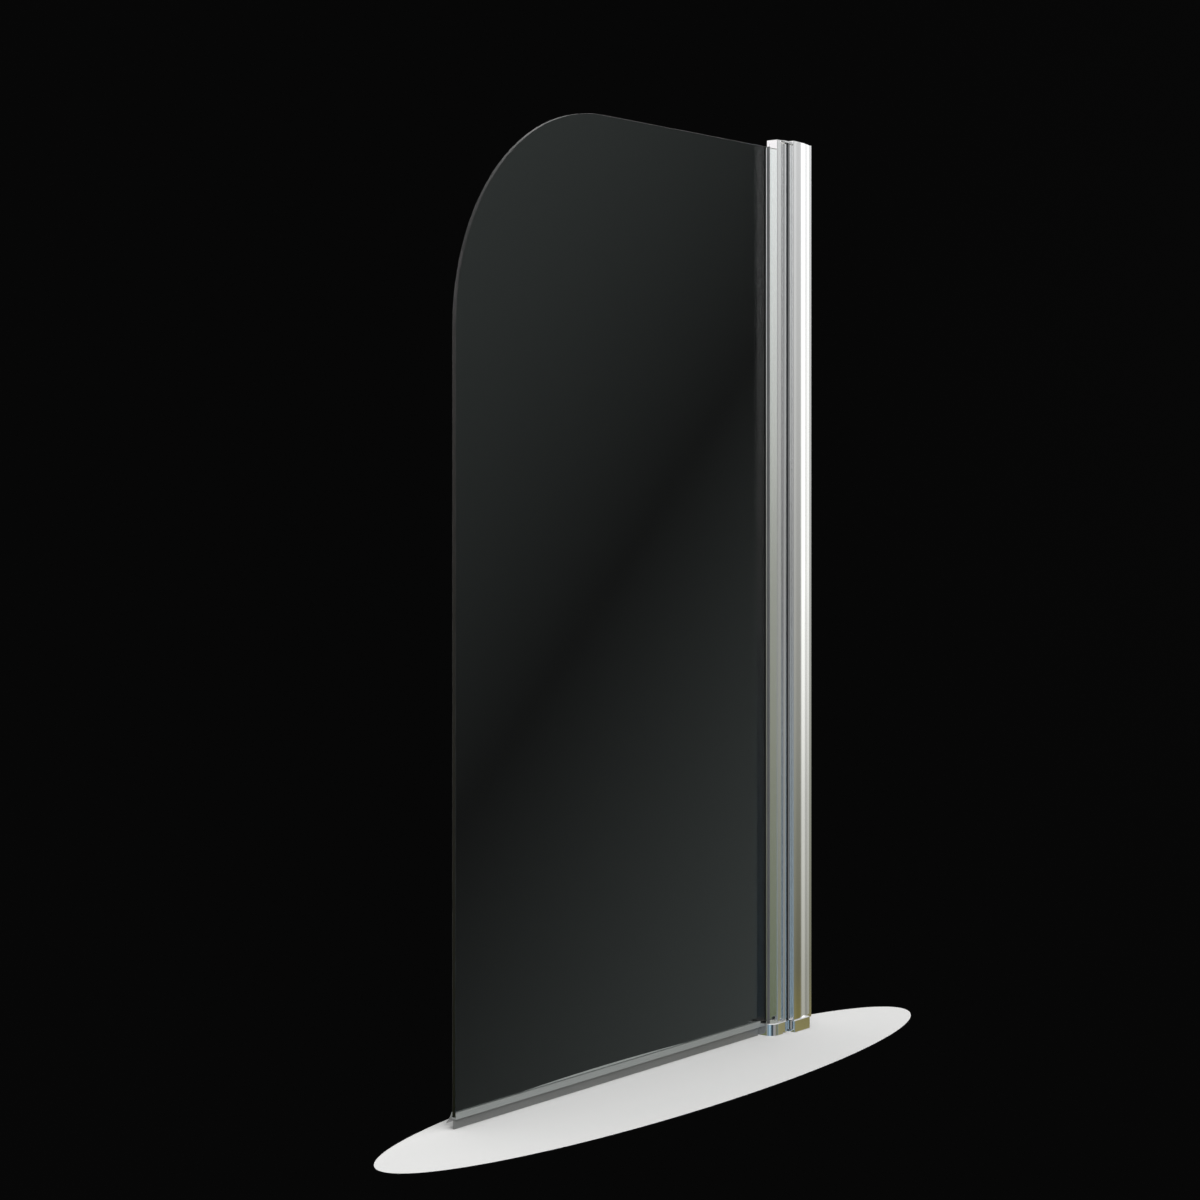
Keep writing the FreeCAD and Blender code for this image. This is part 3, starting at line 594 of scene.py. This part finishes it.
@dataclass(frozen=True)
class GlassSide:
    """The pane and everything that turns with it."""

    profiles: Names = ("hinge_profile",)
    panes: Names = ("glass_panel",)
    seals: Names = ("bottom_seal",)
    castings: Names = ("glass_top_cap", "glass_shoe")
    gaskets: Names = ("front_gasket", "rear_gasket")
    steel: Names = ("top_cap_screw", "shoe_screw")
    nylon: Names = ("top_bush", "bottom_bush")
    packing: Names = ("edge_blocks", "setting_block")

    def finish(self, frame: Dict[str, Any], finishes: Dict[str, Material]) -> None:
        """Dresses the nodes of the glass side.

        Args:
            finishes: The materials by name.
        """
        dress(frame, self.profiles, finishes[PROFILE.name])
        dress(frame, self.panes, finishes[CLEAR_GLASS.name])
        dress(frame, self.seals, finishes[SEAL.name])
        dress(frame, self.castings, finishes[CASTING.name])
        dress(frame, self.gaskets, finishes[GASKET.name])
        dress(frame, self.steel, finishes[STAINLESS.name])
        dress(frame, self.nylon, finishes[NYLON.name])
        dress(frame, self.packing, finishes[PACKING.name])


@dataclass(frozen=True)
class Viewpoint:
    """The place, the level direction and the lens that the photograph was taken with."""

    eye: Triple = (-3.3036, -2.1729, 0.839)
    looks_along: Triple = (0.7888, 0.6147, 0.0)
    lens: float = 73.97
    sensor: float = 36.0
    shift_down: float = 0.0922

    def forward(self) -> Vector:
        """Gives the direction of sight."""
        return Vector(self.looks_along)

    def rightward(self) -> Vector:
        """Gives the level direction to the picture's right."""
        return Vector((self.looks_along[1], -self.looks_along[0], 0.0))

    def build_camera(self) -> None:
        """Sets the camera up at the photograph's angle."""
        data = bpy.data.cameras.new("camera")
        data.lens = self.lens
        data.sensor_width = self.sensor
        data.shift_y = -self.shift_down
        camera = bpy.data.objects.new("camera", data)
        camera.location = self.eye
        camera.rotation_mode = "QUATERNION"
        camera.rotation_quaternion = self.forward().to_track_quat("-Z", "Y")
        bpy.context.scene.collection.objects.link(camera)
        bpy.context.scene.camera = camera


def add_stage(name: str, mesh: bmesh.types.BMesh, material: Material) -> bpy.types.Object:
    """Puts a stage piece into the scene.

    Args:
        name: The piece's name.
        mesh: Its shape, which is used up.
        material: What it is made of.

    Returns:
        The object.
    """
    data = bpy.data.meshes.new(name)
    mesh.to_mesh(data)
    mesh.free()
    data.materials.append(material)
    stage_piece = bpy.data.objects.new(name, data)
    bpy.context.scene.collection.objects.link(stage_piece)
    return stage_piece


@dataclass(frozen=True)
class WallLine:
    """A level line that upright panels stand on."""

    foot: Vector
    way: Vector
    heights: Span

    def zero(self) -> float:
        """Gives how far the line's foot lies along its way."""
        return self.foot.dot(self.way)

    def stand(self, name: str, span: Span, material: Material) -> bpy.types.Object:
        """Stands a panel on the line.

        Args:
            name: The panel's name.
            span: How far from the foot it starts and ends.
            material: What it is made of.

        Returns:
            The panel.
        """
        shape = bmesh.new()
        low, high = self.heights
        start, end = (self.foot + self.way * distance for distance in span)
        corners = [
            shape.verts.new((point.x, point.y, height))
            for point, height in ((start, low), (end, low), (end, high), (start, high))
        ]
        shape.faces.new(corners)
        return add_stage(name, shape, material)


@dataclass(frozen=True)
class BandedWall:
    """A lit wall: upright bands of light along it, times a colour that changes from foot to top."""

    name: str
    bands: Tuple[Span, ...]
    rise: Tuple[Stop, ...]
    strength: float

    def ends(self) -> Span:
        """Gives how far from its line's foot the wall starts and ends."""
        return self.bands[0][0], self.bands[-1][0]

    def light(self, line: WallLine) -> Material:
        """Makes the wall's light.

        Args:
            line: The line that the wall stands on.

        Returns:
            The material.
        """
        graph = Graph(self.name)
        first, last = self.ends()
        stops = [((place - first) / (last - first), grey(level)) for place, level in self.bands]
        zero = line.zero()
        level = graph.ramp(graph.along(line.way, zero + first, zero + last), stops)
        rise = graph.ramp(graph.along(UP, *line.heights), self.rise)
        graph.glow(graph.times(level, rise), self.strength)
        return graph.material


@dataclass(frozen=True)
class Valley:
    """A light with a dark valley that leans to the right."""

    name: str = "dim_wall"
    place: float = 0.24
    lean: float = 0.6375
    reach: float = 2.8
    side: Colour = (0.69, 0.80, 0.77)
    floor: Colour = (0.004, 0.005, 0.005)
    strength: float = 1.0

    def light(self, line: WallLine, eye_height: float) -> Material:
        """Makes the light.

        Args:
            line: The line that the wall stands on.
            eye_height: The height at which the valley lies at its place.

        Returns:
            The material.
        """
        graph = Graph(self.name)
        length = math.hypot(1.0, self.lean)
        way = Vector((line.way.x, line.way.y, -self.lean)) / length
        middle = line.zero() + self.place - self.lean * eye_height
        start, end = ((middle + side * self.reach) / length for side in (-1.0, 1.0))
        stops = ((0.0, self.side), (0.5, self.floor), (1.0, self.side))
        graph.glow(graph.ramp(graph.along(way, start, end), stops), self.strength)
        return graph.material


NEAR_WALL = BandedWall(
    name="near_wall",
    bands=(
        (-3.6, 0.5),
        (-1.4, 0.5),
        (-1.2, 1.0),
        (-0.13, 1.0),
        (-0.09, 0.06),
        (0.09, 0.06),
        (0.16, 1.0),
        (0.8, 1.0),
        (1.0, 0.12),
        (3.6, 0.12),
    ),
    rise=(
        (0.15, (0.27, 0.38, 0.46)),
        (0.35, (0.36, 0.42, 0.46)),
        (0.52, (0.45, 0.45, 0.44)),
        (0.87, (1.0, 1.0, 1.0)),
    ),
    strength=1.4,
)
FRONT_WALL = BandedWall(
    name="front_wall",
    bands=(
        (0.545, 0.36),
        (0.95, 0.36),
        (1.1, 0.28),
        (1.6, 0.28),
        (1.7, 0.5),
    ),
    rise=(
        (0.15, (0.34, 0.29, 0.085)),
        (0.21, (0.2, 0.19, 0.125)),
        (0.33, (0.32, 0.32, 0.26)),
        (0.52, (0.55, 0.55, 0.52)),
        (0.86, (1.0, 1.0, 1.0)),
    ),
    strength=2.4,
)
BOW_WALL = BandedWall(
    name="bow_wall",
    bands=(
        (1.7, 0.5),
        (1.85, 1.0),
        (2.5, 1.0),
        (2.8, 0.5),
        (3.2, 0.85),
        (8.0, 0.6),
    ),
    rise=(
        (0.18, (0.185, 0.185, 0.16)),
        (0.33, (0.3, 0.3, 0.28)),
        (0.52, (0.55, 0.55, 0.53)),
        (0.86, (0.64, 0.64, 0.64)),
    ),
    strength=2.4,
)


@dataclass(frozen=True)
class MirroredWalls:
    """The walls that the pane and the chrome mirror, which show nowhere else."""

    view: Viewpoint
    heights: Span
    far_distance: float = 8.5
    near_distance: float = 1.2
    side_foot: Triple = (-2.58, 1.64, 0.0)
    side_span: Span = (-1.7, 1.7)
    side_strength: float = 1.1
    side_rise: Tuple[Stop, ...] = (
        (0.25, (0.145, 0.16, 0.09)),
        (0.42, (0.27, 0.265, 0.21)),
        (0.53, (0.38, 0.37, 0.33)),
        (0.81, (1.0, 0.97, 0.98)),
    )
    grey_span: Span = (-3.4, -0.62)
    grey_strength: float = 1.0
    grey_rise: Tuple[Stop, ...] = (
        (0.1, (0.16, 0.17, 0.11)),
        (0.5, (0.40, 0.40, 0.39)),
        (1.0, (0.46, 0.46, 0.46)),
    )
    valley: Valley = Valley()

    def far_line(self) -> WallLine:
        """Gives the line ahead of the camera's mirror image in the pane.

        Returns:
            The line that the grey, dim, front and bow walls stand on.
        """
        eye, forward = self.view.eye, self.view.forward()
        ahead = Vector((forward.x, -forward.y, 0.0))
        across = Vector((forward.y, forward.x, 0.0))
        foot = Vector((eye[0], -eye[1], 0.0)) + ahead * self.far_distance
        return WallLine(foot, across, self.heights)

    def near_line(self) -> WallLine:
        """Gives the line behind the camera, across its sight."""
        foot = Vector(self.view.eye) - self.view.forward() * self.near_distance
        return WallLine(foot, self.view.rightward(), self.heights)

    def side_line(self) -> WallLine:
        """Gives the line at the left, along the camera's sight."""
        return WallLine(Vector(self.side_foot), self.view.forward(), self.heights)

    def rising(self, graph: Graph, stops: Sequence[Stop]) -> Socket:
        """Gives a colour that changes from the foot of a wall to its top."""
        return graph.ramp(graph.along(UP, *self.heights), stops)

    def grey_light(self) -> Material:
        """Makes the grey wall's plain light.

        Returns:
            The material.
        """
        graph = Graph("grey_wall")
        graph.glow(self.rising(graph, self.grey_rise), self.grey_strength)
        return graph.material

    def side_light(self) -> Material:
        """Makes the side wall's light, which shows in a mirror also through the pane.

        Returns:
            The material.
        """
        graph = Graph("side_wall")
        light = graph.glow(self.rising(graph, self.side_rise), self.side_strength)
        graph.choose_mirrored(graph.clear(), light)
        return graph.material

    def build(self) -> None:
        """Stands the walls, out of the camera's sight."""
        far, near = self.far_line(), self.near_line()
        grey_light, side_light = self.grey_light(), self.side_light()
        near_light = NEAR_WALL.light(near)
        front_light, bow_light = FRONT_WALL.light(far), BOW_WALL.light(far)
        dim_light = self.valley.light(far, self.view.eye[2])
        dim_span = (self.grey_span[1], FRONT_WALL.ends()[0])
        side_wall = self.side_line().stand("side_wall", self.side_span, side_light)
        walls = (
            side_wall,
            near.stand(NEAR_WALL.name, NEAR_WALL.ends(), near_light),
            far.stand("grey_wall", self.grey_span, grey_light),
            far.stand(self.valley.name, dim_span, dim_light),
            far.stand(FRONT_WALL.name, FRONT_WALL.ends(), front_light),
            far.stand(BOW_WALL.name, BOW_WALL.ends(), bow_light),
        )
        for wall in walls:
            wall.visible_camera = False
            wall.visible_transmission = False
            wall.visible_diffuse = False
        side_wall.visible_transmission = True


@dataclass(frozen=True)
class Lamp:
    """A soft lamp: its place, its width and height in metres, and its power in watts."""

    name: str
    place: Triple
    size: Span
    power: float

    def hang(self, aim: Triple) -> None:
        """Hangs the lamp so that it only lights, and shows neither directly nor in mirrors.

        Args:
            aim: The point that it shines at.
        """
        data = bpy.data.lights.new(self.name, "AREA")
        data.shape = "RECTANGLE"
        data.size, data.size_y = self.size
        data.energy = self.power
        lamp = bpy.data.objects.new(self.name, data)
        lamp.location = self.place
        lamp.rotation_mode = "QUATERNION"
        lamp.rotation_quaternion = (Vector(aim) - Vector(self.place)).to_track_quat("-Z", "Y")
        lamp.visible_camera = False
        lamp.visible_transmission = False
        lamp.visible_glossy = False
        bpy.context.scene.collection.objects.link(lamp)


@dataclass(frozen=True)
class Room:
    """Pale light all round with a darker level band, and dark where it is the background."""

    glow: Tuple[Span, ...] = (
        (0.2, 0.85),
        (0.33, 0.32),
        (0.67, 0.32),
        (0.8, 0.85),
    )
    background: float = 0.10

    def graded(self, tree: Tree) -> Socket:
        """Grades the light by how steeply a ray rises or falls.

        Args:
            tree: The world's node tree.

        Returns:
            The socket with the light's colour.
        """
        direction = tree.add("ShaderNodeTexCoord")
        parts = tree.add("ShaderNodeSeparateXYZ")
        steepness = tree.add("ShaderNodeMapRange")
        steepness.inputs["From Min"].default_value = STRAIGHT_DOWN
        tree.join(direction.outputs["Generated"], parts.inputs["Vector"])
        tree.join(parts.outputs["Z"], steepness.inputs["Value"])
        stops = [(place, grey(level)) for place, level in self.glow]
        return tree.ramp(steepness.outputs["Result"], stops)

    def seen(self, tree: Tree) -> Socket:
        """Tells whether the room is seen directly or through the pane.

        Args:
            tree: The world's node tree.

        Returns:
            The socket with 1 for yes and 0 for no.
        """
        rays = tree.add("ShaderNodeLightPath")
        either = tree.add("ShaderNodeMath", operation="MAXIMUM")
        tree.join(rays.outputs["Is Camera Ray"], either.inputs[0])
        tree.join(rays.outputs["Is Transmission Ray"], either.inputs[1])
        return either.outputs["Value"]

    def build(self) -> None:
        """Makes the world."""
        world = bpy.data.worlds.new("room")
        bpy.context.scene.world = world
        world.use_nodes = True
        tree = Tree(world.node_tree)
        light = tree.nodes["Background"]
        tree.join(self.graded(tree), light.inputs["Color"])
        dark = tree.add("ShaderNodeBackground")
        dark.inputs["Color"].default_value = rgba(grey(self.background))
        choice = tree.add("ShaderNodeMixShader")
        tree.join(self.seen(tree), choice.inputs["Fac"])
        tree.join(light.outputs["Background"], choice.inputs[1])
        tree.join(dark.outputs["Background"], choice.inputs[2])
        tree.join(choice.outputs["Shader"], tree.nodes["World Output"].inputs["Surface"])


@dataclass(frozen=True)
class Studio:
    """A pale floor, a black backdrop, the mirrored walls, the room, the lamps and the camera."""

    view: Viewpoint = Viewpoint()
    room: Room = Room()
    floor_centre: Triple = (-0.42, -0.065, -0.014)
    floor_reach: Span = (0.62, 0.135)
    floor_colour: Colour = (0.62, 0.62, 0.615)
    floor_corners: int = 160
    panel_heights: Span = (-1.75, 2.65)
    backdrop_distance: float = 8.4
    backdrop_span: Span = (-2.2, 2.2)
    lamp_aim: Triple = (-0.4, 0.0, 0.7)
    lamps: Tuple[Lamp, ...] = (
        Lamp("key", (-3.2, -3.4, 2.6), (1.6, 2.4), 120.0),
        Lamp("top", (-0.4, -0.8, 3.6), (2.0, 2.0), 50.0),
    )

    def build_floor(self) -> None:
        """Makes the oval floor under the screen's feet, which mirrors don't show."""
        shape = bmesh.new()
        stretch = Matrix.Diagonal((*self.floor_reach, 1.0, 1.0))
        bmesh.ops.create_circle(
            shape,
            cap_ends=True,
            segments=self.floor_corners,
            radius=1.0,
            matrix=Matrix.Translation(self.floor_centre) @ stretch,
        )
        graph = Graph("pale_floor")
        graph.paint(self.floor_colour)
        graph.choose_mirrored(graph.shader.outputs["BSDF"], graph.clear())
        add_stage("floor", shape, graph.material)

    def build_backdrop(self) -> None:
        """Stands a black backdrop far behind the screen, which mirrors don't show."""
        foot = self.view.forward() * self.backdrop_distance + Vector(self.view.eye)
        line = WallLine(foot, self.view.rightward(), self.panel_heights)
        graph = Graph("dark_backdrop")
        graph.paint(BLACK)
        backdrop = line.stand("backdrop", self.backdrop_span, graph.material)
        backdrop.visible_glossy = False

    def build(self) -> None:
        """Builds the whole studio."""
        bpy.context.scene.view_settings.view_transform = "Standard"
        self.view.build_camera()
        self.build_floor()
        self.build_backdrop()
        MirroredWalls(self.view, self.panel_heights).build()
        self.room.build()
        for lamp in self.lamps:
            lamp.hang(self.lamp_aim)
        LOG.info("studio: floor, backdrop, walls, room, lamps and camera")


def main() -> None:
    """Loads the frame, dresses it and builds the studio."""
    logging.basicConfig(level=logging.INFO, format="%(name)s %(message)s")
    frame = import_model()
    finishes = {finish.name: finish.make() for finish in FINISHES}
    WallSide().finish(frame, finishes)
    GlassSide().finish(frame, finishes)
    Studio().build()


if __name__ == "__main__":
    main()
